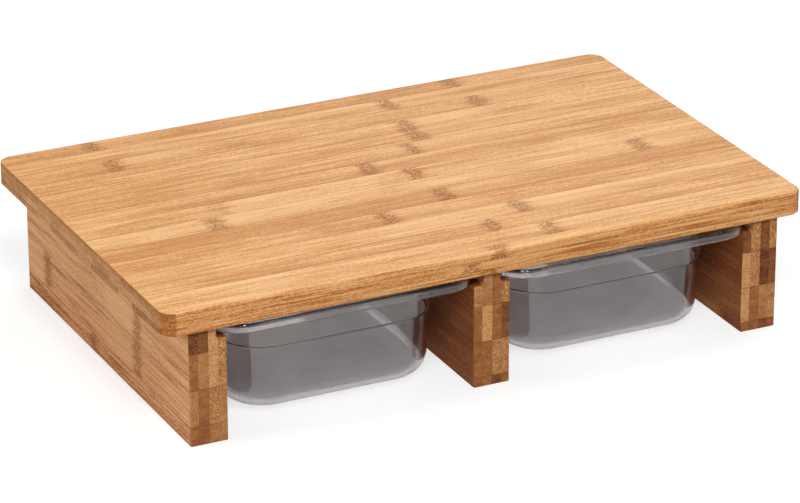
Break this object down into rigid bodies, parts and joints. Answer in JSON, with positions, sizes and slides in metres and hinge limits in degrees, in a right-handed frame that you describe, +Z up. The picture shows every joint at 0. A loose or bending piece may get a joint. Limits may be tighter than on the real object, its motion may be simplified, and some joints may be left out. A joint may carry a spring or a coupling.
{
  "type": "cutting board with drawer trays",
  "caption": "Laminated bamboo cutting board raised on rails, with clear trays that hang by their rims in grooves under it and slide out at the front to catch chopped food.",
  "frame": {"origin": "on the worktop under the middle of the board, on the middle rail's underside", "axes": "+X along the front edge to the cook's right, +Y away from the cook, +Z up"},
  "size_m": [0.4, 0.2542, 0.083],
  "materials": {
    "board_bamboo": "oiled, satin",
    "rail_bamboo": "oiled, satin",
    "dowel_wood": "bare",
    "clear_plastic": "clear, moulded"
  },
  "bodies": {
    "board_on_rails": {"board_top_ply": "board_bamboo", "board_core_ply": "board_bamboo", "board_bottom_ply": "board_bamboo", "left_rail_stave_1": "rail_bamboo", "left_rail_stave_2": "rail_bamboo", "left_rail_stave_3": "rail_bamboo", "left_rail_stave_4": "rail_bamboo", "middle_rail_stave_1": "rail_bamboo", "middle_rail_stave_2": "rail_bamboo", "middle_rail_stave_3": "rail_bamboo", "middle_rail_stave_4": "rail_bamboo", "right_rail_stave_1": "rail_bamboo", "right_rail_stave_2": "rail_bamboo", "right_rail_stave_3": "rail_bamboo", "right_rail_stave_4": "rail_bamboo", "left_rail_dowels": "dowel_wood", "middle_rail_dowels": "dowel_wood", "right_rail_dowels": "dowel_wood"},
    "left_tray": {"left_tray": "clear_plastic"},
    "right_tray": {"right_tray": "clear_plastic"}
  },
  "joints": [
    {"name": "left_tray_slide", "type": "slide", "parent": "board_on_rails", "child": "left_tray", "axis": [0, -1, 0], "range_m": [-0.07, 0.19]},
    {"name": "right_tray_slide", "type": "slide", "parent": "board_on_rails", "child": "right_tray", "axis": [0, -1, 0], "range_m": [-0.0722, 0.1878]}
  ]
}
